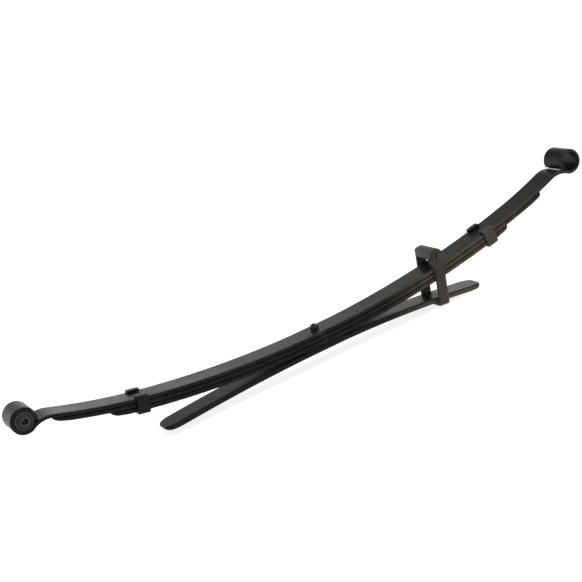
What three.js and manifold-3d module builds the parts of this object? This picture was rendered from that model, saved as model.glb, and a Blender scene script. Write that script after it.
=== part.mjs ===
// A multi-leaf rear suspension spring: three flexing leaves, a straight overload leaf under them,
// a rubber-bushed front eye, an open rear eye, two rebound clips and a stop bracket.
// Millimetres, +Z up, +X towards the rear eye, +Y across the leaves.
// The origin is the centre of the locating face under the centre bolt's head.
import * as THREE from 'three';
import { mergeVertices } from 'three/addons/utils/BufferGeometryUtils.js';
import Module from 'manifold-3d';

// ---- driving dimensions --------------------------------------------------
const GAP = 0.3;                 // clearance between neighbouring pieces

const LEAF_W = 63.5;             // width of every leaf
const MAIN_T = 7.8;              // thickness of the three flexing leaves
const SECOND_T = 9.4;
const THIRD_T = 10;
const CAMBER_R = 2170;           // radius of the arched leaves
const FRONT_CAMBER_R = 1350;     // tighter radius towards the front eye
const FRONT_CAMBER_FROM = 380;   // distance from the centre where the tighter radius starts
const REAR_CAMBER_R = 1000;      // the same towards the rear eye, on the main leaf alone
const REAR_CAMBER_FROM = 520;
const SEAT_HALF = 45;            // half length of the flat clamp seat
const STATION = 30;              // spacing of the stations along a leaf

const EYE_OUTER_R = 27.4;        // outside of a rolled eye
const EYE_BEND_R = 52;           // bend that drops the leaf under its eye, at mid thickness
const FRONT_EYE = { from: 582.2, dip: 50.1, roll: 182.2 };   // roll is measured from the leaf's line
const REAR_EYE = { from: 636.5, dip: 49.2, roll: 183.2 };

const SECOND_TIP = { front: 583, rear: 599 };   // lengths of the second leaf's halves
const THIRD_TIP = { front: 467, rear: 493 };    // and of the third's
const TIP_TAPER = 34;            // length of a tip's taper
const TIP_CORNER_R = 15;         // tip corner radius in plan

const FLEX_STATION = 185;        // where a half pack flexes about its clamped centre
const KNUCKLE_R = 15.5;           // round cut between a leaf's centre and its two arms

const SPACER_T = 1.2;
const OVERLOAD_T = 11.5;
const OVERLOAD_FRONT_R = 4400;   // the overload leaf curves down, more so at the rear
const OVERLOAD_REAR_R = 2700;
const OVERLOAD_FRONT_TIP = 377;
const OVERLOAD_REAR_TIP = 394;
const OVERLOAD_CORNER_R = 24;

const BOLT_R = 5;                // centre bolt
const BOLT_HEAD_R = 10;
const BOLT_HEAD_H = 4;
const NUT_FLATS = 17;
const NUT_H = 8.4;
const BOLT_END = 3.8;            // thread standing out of the nut
const SPOT_R = 11;               // shallow spot faces under the bolt's head and the nut
const SPOT_DEPTH = 0.15;

const OUTER_SLEEVE_T = 2;        // front bushing
const INNER_SLEEVE_R = 10;
const BUSH_BORE_R = 6.2;
const RUBBER_HALF = 30.5;
const INNER_SLEEVE_HALF = 34.5;

const CLIP_T = 4.5;              // rebound clips
const CLIP_W = 25;
const CLIP_TAB = 16;             // how far a folded tab reaches in from the arm
const FRONT_CLIP_AT = -403.5;
const REAR_CLIP_AT = 439.5;
const RIVET_R = 4;
const RIVET_HEAD_R = 7;
const RIVET_HEAD_H = 3.5;

const INSERT_R = 8;              // plastic tip inserts, mushroom shaped
const INSERT_CAP_R = 12;
const INSERT_CAP_T = 2;
const INSERT_BACK = 40;          // from the second leaf's tip to its insert

const STOP_AT = 289;             // stop bracket, riveted under the overload leaf
const STOP_W = 22.5;
const STOP_T = 7;
const STOP_INNER = 33.2;         // half width between its arms
const STOP_PIN_H = 90.6;         // cross bolt's height over the overload leaf
const STOP_PIN_X = 5;            // how far back its arms lean at that height
const STOP_ARM_END = 10.5;       // how far the arms reach past the bolt
const STOP_ARM_CORNER_R = 8;
const STOP_BOLT_R = 4;
const STOP_TUBE_R = 6.5;
const STOP_SLEEVE_R = 14;
const STOP_HEX = 13;
const STOP_HEX_H = 5.4;
const STOP_NUT_H = 6.6;
const STOP_WASHER_R = 8.4;
const STOP_WASHER_T = 1.6;
const STOP_RIVET_HEAD_H = 2.5;   // the bracket's rivet has a flat head in a counterbore

// ---- heights of the stack at the seat, from the main leaf's top -----------
const SECOND_TOP = -(MAIN_T + GAP);
const THIRD_TOP = SECOND_TOP - SECOND_T - GAP;
const PACK_BOTTOM = THIRD_TOP - THIRD_T;
const SPACER_TOP = PACK_BOTTOM - GAP;
const OVERLOAD_TOP = SPACER_TOP - SPACER_T - GAP;
const STACK_BOTTOM = OVERLOAD_TOP - OVERLOAD_T;
const HEAD_TOP = STACK_BOTTOM - GAP;
const ORIGIN_LIFT = BOLT_HEAD_H - HEAD_TOP;

// ---- solid modelling helpers ------------------------------------------------
const wasm = await Module();
wasm.setup();

function toManifold(geometry) {
  const bare = geometry.clone();
  bare.deleteAttribute('normal');
  bare.deleteAttribute('uv');
  const merged = mergeVertices(bare, 1e-4);
  return new wasm.Manifold(new wasm.Mesh({
    numProp: 3,
    vertProperties: Float32Array.from(merged.attributes.position.array),
    triVerts: Uint32Array.from(merged.index.array),
  }));
}

function toGeometry(manifold) {
  const mesh = manifold.getMesh();
  const geometry = new THREE.BufferGeometry();
  geometry.setAttribute('position', new THREE.BufferAttribute(mesh.vertProperties, 3));
  geometry.setIndex(new THREE.BufferAttribute(mesh.triVerts, 1));
  return geometry.toNonIndexed();
}

// A prism of a side profile (x, z), centred on y = 0.
function sidePrism(points, width, curveSegments = 12) {
  const shape = points instanceof THREE.Shape ? points : new THREE.Shape(points);
  const geometry = new THREE.ExtrudeGeometry(shape, { depth: width, bevelEnabled: false, curveSegments });
  geometry.translate(0, 0, -width / 2);
  geometry.rotateX(Math.PI / 2);
  return toManifold(geometry);
}

// A prism of a cross-section (y, z), centred on x = 0.
function crossPrism(shape, length, curveSegments = 5) {
  const geometry = new THREE.ExtrudeGeometry(shape, { depth: length, bevelEnabled: false, curveSegments });
  geometry.translate(0, 0, -length / 2);
  geometry.rotateX(Math.PI / 2);
  geometry.rotateZ(Math.PI / 2);
  return toManifold(geometry);
}

// A turned piece from (radius, height) pairs, its axis along +Z.
function turned(profile, segments = 40) {
  const points = profile.map(([r, h]) => new THREE.Vector2(r, h));
  return toManifold(new THREE.LatheGeometry([...points, points[0]], segments).rotateX(Math.PI / 2));
}

function rod(radius, low, high, segments = 40) {
  const geometry = new THREE.CylinderGeometry(radius, radius, high - low, segments);
  geometry.rotateX(Math.PI / 2);
  geometry.translate(0, 0, (low + high) / 2);
  return toManifold(geometry);
}

// A round bar or tube across the leaves, centred on y = 0 at (x, z).
function crossRod(radius, halfLength, x, z, segments = 40) {
  return rod(radius, -halfLength, halfLength, segments).rotate([90, 0, 0]).translate([x, 0, z]);
}

function crossTube(outer, inner, halfLength, x, z, segments = 40) {
  const chamfer = 0.6;
  const tube = turned([
    [inner, -halfLength],
    [outer - chamfer, -halfLength],
    [outer, -halfLength + chamfer],
    [outer, halfLength - chamfer],
    [outer - chamfer, halfLength],
    [inner, halfLength],
  ], segments);
  return tube.rotate([90, 0, 0]).translate([x, 0, z]);
}

function hexPrism(flats, low, high) {
  const across = flats / Math.sqrt(3);
  const hex = rod(across, low, high, 6);
  const dome = turned([
    [0, low],
    [flats * 0.49, low],
    [flats * 0.62, low + flats * 0.07],
    [flats * 0.62, high - flats * 0.07],
    [flats * 0.49, high],
    [0, high],
  ], 36);
  return hex.intersect(dome);
}

// ---- the arched line of the leaves ----------------------------------------
// side is +1 towards the rear eye and -1 towards the front one.
// Gives the point at a distance s from the centre, offset d along the upward normal, and the slope there.
const seatAngle = SEAT_HALF / CAMBER_R;

function archPoint(side, s, d, rearCamberFrom = Infinity) {
  const inner = Math.min(s, side < 0 ? FRONT_CAMBER_FROM : rearCamberFrom);
  const outerR = side < 0 ? FRONT_CAMBER_R : REAR_CAMBER_R;
  const angle = inner / CAMBER_R;
  const centreZ = CAMBER_R * Math.cos(seatAngle);
  let x = CAMBER_R * Math.sin(angle);
  let z = centreZ - CAMBER_R * Math.cos(angle);
  let heading = angle;
  if (inner < s) {
    const more = (s - inner) / outerR;
    x += outerR * (Math.sin(angle + more) - Math.sin(angle));
    z += outerR * (Math.cos(angle) - Math.cos(angle + more));
    heading += more;
  }
  x -= d * Math.sin(heading);
  z += d * Math.cos(heading);
  return { x: side * x, z, heading };
}

const mainPoint = (side, s, d) => archPoint(side, s, d, REAR_CAMBER_FROM);

function overloadPoint(side, s, d) {
  const radius = side < 0 ? OVERLOAD_FRONT_R : OVERLOAD_REAR_R;
  const angle = s / radius;
  const level = OVERLOAD_TOP - radius * Math.cos(SEAT_HALF / radius);
  return {
    x: side * (radius + d) * Math.sin(angle),
    z: level + (radius + d) * Math.cos(angle),
    heading: -angle,
  };
}

function stations(from, to) {
  const count = Math.max(1, Math.round((to - from) / STATION));
  return Array.from({ length: count + 1 }, (_, i) => from + ((to - from) * i) / count);
}

const flat = (p) => new THREE.Vector2(p.x, p.z);

// The side profile of a leaf that tapers from below at both tips.
function leafProfile(line, frontTip, rearTip, top, thickness, tipThickness) {
  const bottom = top - thickness;
  const upper = [
    ...stations(SEAT_HALF, frontTip).reverse().map((s) => flat(line(-1, s, top))),
    ...stations(SEAT_HALF, rearTip).map((s) => flat(line(1, s, top))),
  ];
  const lowerHalf = (side, tip) => [
    ...stations(SEAT_HALF, tip - TIP_TAPER).map((s) => flat(line(side, s, bottom))),
    flat(line(side, tip - TIP_TAPER / 3, bottom + (thickness - tipThickness) / 3)),
    flat(line(side, tip, top - tipThickness)),
  ];
  return [...upper, ...lowerHalf(1, rearTip).reverse(), ...lowerHalf(-1, frontTip)];
}

// A rounded rectangle in plan that trims the leaf's tip corners.
function planTrim(xFront, xRear, r) {
  const shape = new THREE.Shape();
  const half = LEAF_W / 2;
  shape.moveTo(xFront + r, -half);
  shape.lineTo(xRear - r, -half);
  shape.absarc(xRear - r, -half + r, r, -Math.PI / 2, 0, false);
  shape.absarc(xRear - r, half - r, r, 0, Math.PI / 2, false);
  shape.absarc(xFront + r, half - r, r, Math.PI / 2, Math.PI, false);
  shape.absarc(xFront + r, -half + r, r, Math.PI, 1.5 * Math.PI, false);
  const geometry = new THREE.ExtrudeGeometry(shape, { depth: 400, bevelEnabled: false, curveSegments: 6 });
  return toManifold(geometry.translate(0, 0, -200));
}

// The main leaf's eye: the leaf dips under it, rolls up and over, and stops short of its own top.
function eyePath(side, { from, dip, roll }) {
  const start = mainPoint(side, from, -MAIN_T / 2);
  const rollR = EYE_OUTER_R - MAIN_T / 2;
  const heading = start.heading;
  const bendCentre = {
    x: Math.abs(start.x) + EYE_BEND_R * Math.sin(heading),
    z: start.z - EYE_BEND_R * Math.cos(heading),
  };
  const joinAngle = heading + Math.PI / 2 - THREE.MathUtils.degToRad(dip);
  const centre = {
    x: bendCentre.x + (EYE_BEND_R + rollR) * Math.cos(joinAngle),
    z: bendCentre.z + (EYE_BEND_R + rollR) * Math.sin(joinAngle),
  };
  const rollEnd = heading + THREE.MathUtils.degToRad(roll);
  const arc = (c, radius, a0, a1, count) => Array.from({ length: count + 1 }, (_, i) => {
    const a = a0 + ((a1 - a0) * i) / count;
    return new THREE.Vector2(side * (c.x + radius * Math.cos(a)), c.z + radius * Math.sin(a));
  });
  const half = MAIN_T / 2;
  return {
    centre: { x: side * centre.x, z: centre.z },
    upper: [
      ...arc(bendCentre, EYE_BEND_R + half, heading + Math.PI / 2, joinAngle, 5),
      ...arc(centre, rollR - half, joinAngle - Math.PI, rollEnd, 24).slice(1),
    ],
    lower: [
      ...arc(bendCentre, EYE_BEND_R - half, heading + Math.PI / 2, joinAngle, 5),
      ...arc(centre, EYE_OUTER_R, joinAngle - Math.PI, rollEnd, 28).slice(1),
    ],
  };
}

const frontEye = eyePath(-1, FRONT_EYE);
const rearEye = eyePath(1, REAR_EYE);

function mainLeafProfile() {
  const along = (side, end, d) => stations(SEAT_HALF, end).slice(0, -1).map((s) => flat(mainPoint(side, s, d)));
  return [
    ...along(-1, FRONT_EYE.from, 0),
    ...frontEye.upper,
    ...frontEye.lower.reverse(),
    ...along(-1, FRONT_EYE.from, -MAIN_T).reverse(),
    ...along(1, REAR_EYE.from, -MAIN_T),
    ...rearEye.lower,
    ...rearEye.upper.reverse(),
    ...along(1, REAR_EYE.from, 0).reverse(),
  ];
}

// ---- leaves -------------------------------------------------------------------
const boltHole = rod(BOLT_R + GAP, STACK_BOTTOM - 20, 20, 32);

// Places a piece built at the origin on the arched or overload line, its local X along the line.
function onLine(manifold, line, at, d) {
  const p = line(Math.sign(at), Math.abs(at), d);
  const pitch = -Math.sign(at) * THREE.MathUtils.radToDeg(p.heading);
  return manifold.rotate([0, pitch, 0]).translate([p.x, 0, p.z]);
}

const clipRivetHole = rod(RIVET_R + GAP, -40, 40, 24);

function tipInsertShape(grow) {
  return turned([
    [0, -SECOND_T - grow],
    [INSERT_R + grow, -SECOND_T - grow],
    [INSERT_R + grow, -INSERT_CAP_T - grow],
    [INSERT_CAP_R + grow, -INSERT_CAP_T - grow],
    [INSERT_CAP_R + grow, grow ? 1 : 0],
    [0, grow ? 1 : 0],
  ], 28);
}

function cambered(tips, top, thickness) {
  const profile = leafProfile(archPoint, tips.front, tips.rear, top, thickness, thickness * 0.5);
  return sidePrism(profile, LEAF_W)
    .intersect(planTrim(archPoint(-1, tips.front, top).x, archPoint(1, tips.rear, top).x, TIP_CORNER_R))
    .subtract(boltHole);
}

const mainLeaf = sidePrism(mainLeafProfile(), LEAF_W)
  .subtract(boltHole)
  .subtract(rod(SPOT_R, -SPOT_DEPTH, 5, 32));
const insertPlaces = { front: INSERT_BACK - SECOND_TIP.front, rear: SECOND_TIP.rear - INSERT_BACK };
const secondLeaf = cambered(SECOND_TIP, SECOND_TOP, SECOND_T)
  .subtract(onLine(tipInsertShape(GAP), archPoint, insertPlaces.front, SECOND_TOP))
  .subtract(onLine(tipInsertShape(GAP), archPoint, insertPlaces.rear, SECOND_TOP));
const thirdLeaf = cambered(THIRD_TIP, THIRD_TOP, THIRD_T)
  .subtract(onLine(clipRivetHole, archPoint, FRONT_CLIP_AT, PACK_BOTTOM))
  .subtract(onLine(clipRivetHole, archPoint, REAR_CLIP_AT, PACK_BOTTOM));

const overloadLeaf = sidePrism(
  leafProfile(overloadPoint, OVERLOAD_FRONT_TIP, OVERLOAD_REAR_TIP, 0, OVERLOAD_T, OVERLOAD_T * 0.6),
  LEAF_W,
)
  .intersect(planTrim(
    overloadPoint(-1, OVERLOAD_FRONT_TIP, 0).x,
    overloadPoint(1, OVERLOAD_REAR_TIP, 0).x,
    OVERLOAD_CORNER_R,
  ))
  .subtract(boltHole)
  .subtract(rod(SPOT_R, STACK_BOTTOM - 5, STACK_BOTTOM + SPOT_DEPTH, 32))
  .subtract(onLine(clipRivetHole, overloadPoint, STOP_AT, 0));

// Each flexing leaf is one strip of steel. It is divided by a round cut at the two flex stations,
// so that its arms can turn about the clamped centre.
const PACK_MIDDLE = PACK_BOTTOM / 2;
const flexAxis = [-1, 1].map((side) => archPoint(side, FLEX_STATION, PACK_MIDDLE));

function divided(leaf) {
  const beyond = (side) => {
    const geometry = new THREE.BoxGeometry(1000, 200, 600);
    const axis = flexAxis[side < 0 ? 0 : 1];
    return toManifold(geometry).translate([axis.x + side * 500, 0, axis.z]);
  };
  const knuckle = (side, radius) => {
    const axis = flexAxis[side < 0 ? 0 : 1];
    return crossRod(radius, LEAF_W, axis.x, axis.z, 64);
  };
  const arm = (side) => leaf.intersect(beyond(side)).subtract(knuckle(side, KNUCKLE_R + GAP));
  const centre = leaf
    .subtract(beyond(-1).subtract(knuckle(-1, KNUCKLE_R)))
    .subtract(beyond(1).subtract(knuckle(1, KNUCKLE_R)));
  return { front: arm(-1), centre, rear: arm(1) };
}

// ---- clips and bracket ---------------------------------------------------------
// A strap folded around the pack: closed below, its two ends folded over the top.
function clipSection() {
  const inner = LEAF_W / 2 + GAP + 0.2;
  const outer = inner + CLIP_T;
  const floor = -GAP;
  const roof = -PACK_BOTTOM + 1;
  const low = floor - CLIP_T;
  const high = roof + CLIP_T;
  const r = CLIP_T;
  const shape = new THREE.Shape();
  shape.moveTo(-outer + r, low);
  shape.lineTo(outer - r, low);
  shape.absarc(outer - r, low + r, r, -Math.PI / 2, 0, false);
  shape.lineTo(outer, high - r);
  shape.absarc(outer - r, high - r, r, 0, Math.PI / 2, false);
  shape.lineTo(inner - CLIP_TAB, high);
  shape.lineTo(inner - CLIP_TAB, roof);
  shape.lineTo(inner, roof);
  shape.lineTo(inner, floor);
  shape.lineTo(-inner, floor);
  shape.lineTo(-inner, roof);
  shape.lineTo(-inner + CLIP_TAB, roof);
  shape.lineTo(-inner + CLIP_TAB, high);
  shape.lineTo(-outer + r, high);
  shape.absarc(-outer + r, high - r, r, Math.PI / 2, Math.PI, false);
  shape.lineTo(-outer, low + r);
  shape.absarc(-outer + r, low + r, r, Math.PI, 1.5 * Math.PI, false);
  return shape;
}

function clip(at) {
  const strap = crossPrism(clipSection(), CLIP_W).subtract(clipRivetHole);
  return onLine(strap, archPoint, at, PACK_BOTTOM);
}

// A domed rivet up through a clip and the third leaf.
const CLIP_LOW = -GAP - CLIP_T;
const clipRivet = turned([
  [0, CLIP_LOW - GAP - RIVET_HEAD_H],
  [RIVET_HEAD_R * 0.5, CLIP_LOW - GAP - RIVET_HEAD_H * 0.87],
  [RIVET_HEAD_R * 0.87, CLIP_LOW - GAP - RIVET_HEAD_H * 0.5],
  [RIVET_HEAD_R, CLIP_LOW - GAP],
  [RIVET_R, CLIP_LOW - GAP],
  [RIVET_R, THIRD_T - GAP],
  [0, THIRD_T - GAP],
], 24);

const STOP_FLOOR = -OVERLOAD_T - GAP;
const STOP_LOW = STOP_FLOOR - STOP_T;

function stopBracket() {
  const outer = STOP_INNER + STOP_T;
  const low = STOP_LOW;
  const high = STOP_PIN_H + STOP_W;
  const section = new THREE.Shape();
  section.moveTo(-outer + STOP_T, low);
  section.lineTo(outer - STOP_T, low);
  section.absarc(outer - STOP_T, low + STOP_T, STOP_T, -Math.PI / 2, 0, false);
  section.lineTo(outer, high);
  section.lineTo(STOP_INNER, high);
  section.lineTo(STOP_INNER, STOP_FLOOR);
  section.lineTo(-STOP_INNER, STOP_FLOOR);
  section.lineTo(-STOP_INNER, high);
  section.lineTo(-outer, high);
  section.lineTo(-outer, low + STOP_T);
  section.absarc(-outer + STOP_T, low + STOP_T, STOP_T, Math.PI, 1.5 * Math.PI, false);
  const side = new THREE.Shape();
  side.moveTo(-STOP_W / 2, low - 1);
  side.lineTo(STOP_W / 2, low - 1);
  side.lineTo(STOP_W / 2, 0);
  const reach = STOP_W / 2 - STOP_ARM_CORNER_R;
  const shoulder = STOP_PIN_H + STOP_ARM_END - STOP_ARM_CORNER_R;
  const lean = (STOP_PIN_X * shoulder) / STOP_PIN_H;
  side.absarc(lean + reach, shoulder, STOP_ARM_CORNER_R, 0, Math.PI / 2, false);
  side.absarc(lean - reach, shoulder, STOP_ARM_CORNER_R, Math.PI / 2, Math.PI, false);
  side.lineTo(-STOP_W / 2, 0);
  return crossPrism(section, STOP_W + 10)
    .intersect(sidePrism(side, 2 * outer + 10, 14))
    .subtract(crossRod(STOP_BOLT_R + GAP, outer + 5, STOP_PIN_X, STOP_PIN_H, 32))
    .subtract(clipRivetHole)
    .subtract(rod(RIVET_HEAD_R + GAP, low - 1, low + STOP_RIVET_HEAD_H + 2 * GAP, 24));
}

const stopRivet = turned([
  [0, STOP_LOW + GAP],
  [RIVET_HEAD_R, STOP_LOW + GAP],
  [RIVET_HEAD_R, STOP_LOW + GAP + STOP_RIVET_HEAD_H],
  [RIVET_R, STOP_LOW + GAP + STOP_RIVET_HEAD_H],
  [RIVET_R, -GAP],
  [0, -GAP],
], 24);

function stopBolt() {
  const face = STOP_INNER + STOP_T + GAP;
  const end = face + STOP_WASHER_T + STOP_NUT_H + 2 * GAP + 2.5;
  const shank = rod(STOP_BOLT_R, -face - 0.5, end, 32);
  const head = hexPrism(STOP_HEX, -face - STOP_HEX_H, -face);
  return shank.add(head).rotate([-90, 0, 0]).translate([STOP_PIN_X, 0, STOP_PIN_H]);
}

function stopNut() {
  const low = STOP_INNER + STOP_T + STOP_WASHER_T + 2 * GAP;
  const nut = hexPrism(STOP_HEX, low, low + STOP_NUT_H).subtract(rod(STOP_BOLT_R + GAP, low - 1, low + 20, 32));
  return nut.rotate([-90, 0, 0]).translate([STOP_PIN_X, 0, STOP_PIN_H]);
}

function stopWasher() {
  const low = STOP_INNER + STOP_T + GAP;
  const washer = rod(STOP_WASHER_R, low, low + STOP_WASHER_T).subtract(rod(STOP_BOLT_R + GAP, 0, low + 20, 32));
  return washer.rotate([-90, 0, 0]).translate([STOP_PIN_X, 0, STOP_PIN_H]);
}

// ---- centre bolt ------------------------------------------------------------------
const nutLow = GAP;
const boltTop = nutLow + NUT_H + BOLT_END;

const centreBolt = turned([
  [0, HEAD_TOP - BOLT_HEAD_H],
  [BOLT_HEAD_R - 1, HEAD_TOP - BOLT_HEAD_H],
  [BOLT_HEAD_R, HEAD_TOP - BOLT_HEAD_H + 1],
  [BOLT_HEAD_R, HEAD_TOP],
  [BOLT_R, HEAD_TOP],
  [BOLT_R, boltTop - 1],
  [BOLT_R - 1, boltTop],
  [0, boltTop],
], 40);

const centreNut = hexPrism(NUT_FLATS, nutLow, nutLow + NUT_H).subtract(boltHole);

const centreSpacer = toManifold(new THREE.BoxGeometry(2 * SEAT_HALF, LEAF_W, SPACER_T))
  .translate([0, 0, SPACER_TOP - SPACER_T / 2])
  .subtract(boltHole);

// ---- front bushing ------------------------------------------------------------------
const eyeBore = EYE_OUTER_R - MAIN_T;
const outerSleeveR = eyeBore - GAP;
const rubberOuterR = outerSleeveR - OUTER_SLEEVE_T - GAP;
const rubberInnerR = INNER_SLEEVE_R + GAP;

// The rubber is moulded with a shallow groove in each end face.
function bushingRubber() {
  const groove = (rubberOuterR + rubberInnerR) / 2;
  const face = (sign) => [
    [rubberInnerR, sign * (RUBBER_HALF + 1.5)],
    [groove - 1, sign * (RUBBER_HALF + 1.5)],
    [groove, sign * (RUBBER_HALF - 1.5)],
    [groove + 1, sign * RUBBER_HALF],
    [rubberOuterR, sign * RUBBER_HALF],
  ];
  return turned([...face(-1), ...face(1).reverse()]).rotate([90, 0, 0])
    .translate([frontEye.centre.x, 0, frontEye.centre.z]);
}

// ---- materials ------------------------------------------------------------------------
const paint = () => new THREE.MeshStandardMaterial({ color: 0x2b2b29, roughness: 0.42, metalness: 0.1 });
const brownPaint = () => new THREE.MeshStandardMaterial({ color: 0x3a322d, roughness: 0.5, metalness: 0.1 });
const blackSteel = () => new THREE.MeshStandardMaterial({ color: 0x151515, roughness: 0.45, metalness: 0.6 });
const zincSteel = () => new THREE.MeshStandardMaterial({ color: 0x8e8d88, roughness: 0.4, metalness: 0.9 });
const rubber = () => new THREE.MeshStandardMaterial({ color: 0x1b1a19, roughness: 0.8, metalness: 0 });
const plastic = () => new THREE.MeshStandardMaterial({ color: 0x262626, roughness: 0.6, metalness: 0 });

// ---- assembly -----------------------------------------------------------------------------
const spring = new THREE.Group();
const stack = new THREE.Group();
stack.position.z = ORIGIN_LIFT;
spring.add(stack);

function add(name, manifold, material) {
  const mesh = new THREE.Mesh(toGeometry(manifold), material);
  mesh.name = name;
  stack.add(mesh);
}

for (const [name, leaf] of [['main_leaf', mainLeaf], ['second_leaf', secondLeaf], ['third_leaf', thirdLeaf]]) {
  for (const [part, piece] of Object.entries(divided(leaf))) {
    add(`${name}_${part}`, piece, paint());
  }
}
add('overload_leaf', overloadLeaf, paint());
add('centre_spacer', centreSpacer, blackSteel());
add('centre_bolt', centreBolt, blackSteel());
add('centre_nut', centreNut, blackSteel());

const { x: eyeX, z: eyeZ } = frontEye.centre;
add(
  'bushing_outer_sleeve',
  crossTube(outerSleeveR, outerSleeveR - OUTER_SLEEVE_T, LEAF_W / 2, eyeX, eyeZ),
  zincSteel(),
);
add('bushing_rubber', bushingRubber(), rubber());
add('bushing_inner_sleeve', crossTube(INNER_SLEEVE_R, BUSH_BORE_R, INNER_SLEEVE_HALF, eyeX, eyeZ), zincSteel());

for (const [name, at] of [['front', FRONT_CLIP_AT], ['rear', REAR_CLIP_AT]]) {
  add(`${name}_clip`, clip(at), paint());
  add(`${name}_clip_rivet`, onLine(clipRivet, archPoint, at, PACK_BOTTOM), blackSteel());
}

for (const [end, at] of Object.entries(insertPlaces)) {
  add(`${end}_tip_insert`, onLine(tipInsertShape(0), archPoint, at, SECOND_TOP), plastic());
}

const onOverload = (manifold) => onLine(manifold, overloadPoint, STOP_AT, 0);
add('stop_bracket', onOverload(stopBracket()), brownPaint());
add('stop_bracket_rivet', onOverload(stopRivet), blackSteel());
add(
  'stop_tube',
  onOverload(crossTube(STOP_TUBE_R, STOP_BOLT_R + GAP, STOP_INNER - GAP, STOP_PIN_X, STOP_PIN_H, 32)),
  blackSteel(),
);
add(
  'stop_sleeve',
  onOverload(crossTube(STOP_SLEEVE_R, STOP_TUBE_R + GAP, STOP_INNER - 1, STOP_PIN_X, STOP_PIN_H)),
  rubber(),
);
add('stop_bolt', onOverload(stopBolt()), zincSteel());
add('stop_nut', onOverload(stopNut()), blackSteel());
add('stop_washer', onOverload(stopWasher()), blackSteel());

export default spring;
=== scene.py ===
"""Looks of a multi-leaf suspension spring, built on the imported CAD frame."""
import math

import bmesh
import bpy
import numpy as np
from mathutils import Matrix, Vector


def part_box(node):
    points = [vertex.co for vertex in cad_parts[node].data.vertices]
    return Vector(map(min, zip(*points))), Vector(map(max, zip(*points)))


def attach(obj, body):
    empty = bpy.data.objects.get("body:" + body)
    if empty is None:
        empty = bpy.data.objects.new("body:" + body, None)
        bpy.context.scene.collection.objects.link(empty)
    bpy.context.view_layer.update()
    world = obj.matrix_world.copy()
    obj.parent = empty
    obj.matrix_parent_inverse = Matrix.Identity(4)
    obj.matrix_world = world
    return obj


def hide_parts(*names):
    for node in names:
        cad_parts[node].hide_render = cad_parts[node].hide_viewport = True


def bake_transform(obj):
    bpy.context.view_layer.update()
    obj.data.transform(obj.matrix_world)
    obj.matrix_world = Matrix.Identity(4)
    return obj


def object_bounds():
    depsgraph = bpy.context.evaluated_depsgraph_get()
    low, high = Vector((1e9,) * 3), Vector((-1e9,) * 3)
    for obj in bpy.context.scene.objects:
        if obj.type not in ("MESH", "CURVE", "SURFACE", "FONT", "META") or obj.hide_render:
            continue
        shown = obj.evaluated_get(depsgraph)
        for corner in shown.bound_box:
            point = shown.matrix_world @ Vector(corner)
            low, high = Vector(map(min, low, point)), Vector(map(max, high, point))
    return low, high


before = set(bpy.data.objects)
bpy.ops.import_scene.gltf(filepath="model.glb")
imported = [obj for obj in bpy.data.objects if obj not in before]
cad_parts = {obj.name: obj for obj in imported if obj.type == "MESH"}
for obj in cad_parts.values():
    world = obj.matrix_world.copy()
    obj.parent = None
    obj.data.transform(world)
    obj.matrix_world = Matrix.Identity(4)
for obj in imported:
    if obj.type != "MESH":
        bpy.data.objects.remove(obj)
cad_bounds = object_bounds()

MM = 0.001
CENTRE, FRONT, REAR, CORE = "clamped_centre", "front_half", "rear_half", "bushing_core"

# ---- sizes, in millimetres, the same as the CAD's -------------------------------------
LEAF_W, GAP = 63.5, 0.3
MAIN_T, SECOND_T, THIRD_T, OVERLOAD_T = 7.8, 9.4, 10.0, 11.5
CAMBER_R, FRONT_CAMBER_R, FRONT_CAMBER_FROM = 2170.0, 1350.0, 380.0
REAR_CAMBER_R, REAR_CAMBER_FROM = 1000.0, 520.0
SEAT_HALF = 45.0
EYE_R, EYE_BEND_R = 27.4, 52.0
# These are by side, -1 towards the front eye and 1 towards the rear one.
EYES = {-1: (582.2, 50.1, 182.2), 1: (636.5, 49.2, 183.2)}   # from, dip and roll
SECOND_TIP = {-1: 583.0, 1: 599.0}
THIRD_TIP = {-1: 467.0, 1: 493.0}
OVERLOAD_TIP = {-1: 377.0, 1: 394.0}
OVERLOAD_R = {-1: 4400.0, 1: 2700.0}
CLIP_AT = {-1: 403.5, 1: 439.5}
TIP_TAPER, TIP_CORNER_R, OVERLOAD_CORNER_R = 34.0, 15.0, 24.0
TIP_SHARE, OVERLOAD_TIP_SHARE = 0.5, 0.6          # a tip's thickness as a share of its leaf's
CLIP_T, CLIP_W, CLIP_TAB = 4.5, 25.0, 16.0
CLIP_SLACK, CLIP_HEADROOM = 0.2, 1.0              # beside and over the leaves
STOP_AT, STOP_W, STOP_T, STOP_INNER = 289.0, 22.5, 7.0, 33.2
STOP_PIN_H, STOP_PIN_X = 90.6, 5.0
STOP_ARM_END, STOP_ARM_CORNER_R = 10.5, 8.0
STOP_BOLT_R, STOP_TUBE_R, STOP_SLEEVE_R = 4.0, 6.5, 14.0
STOP_HEX, STOP_HEX_H, STOP_NUT_H = 13.0, 5.4, 6.6
STOP_WASHER_R, STOP_WASHER_T = 8.4, 1.6
STOP_BOLT_END = 2.5
STOP_RIVET_HEAD_H = 2.5
BOLT_R, BOLT_HEAD_R, NUT_FLATS, NUT_H, BOLT_END = 5.0, 10.0, 17.0, 8.4, 3.8
OUTER_SLEEVE_T, INNER_SLEEVE_R, BUSH_BORE_R = 2.0, 10.0, 6.2
RUBBER_HALF, INNER_SLEEVE_HALF, RUBBER_LIP = 30.5, 34.5, 1.5
RIVET_R, RIVET_HEAD_R, RIVET_HEAD_H = 4.0, 7.0, 3.5
INSERT_R, INSERT_CAP_R, INSERT_CAP_T = 8.0, 12.0, 2.0
INSERT_BACK = 40.0                                # from the second leaf's tip to its insert

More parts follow.
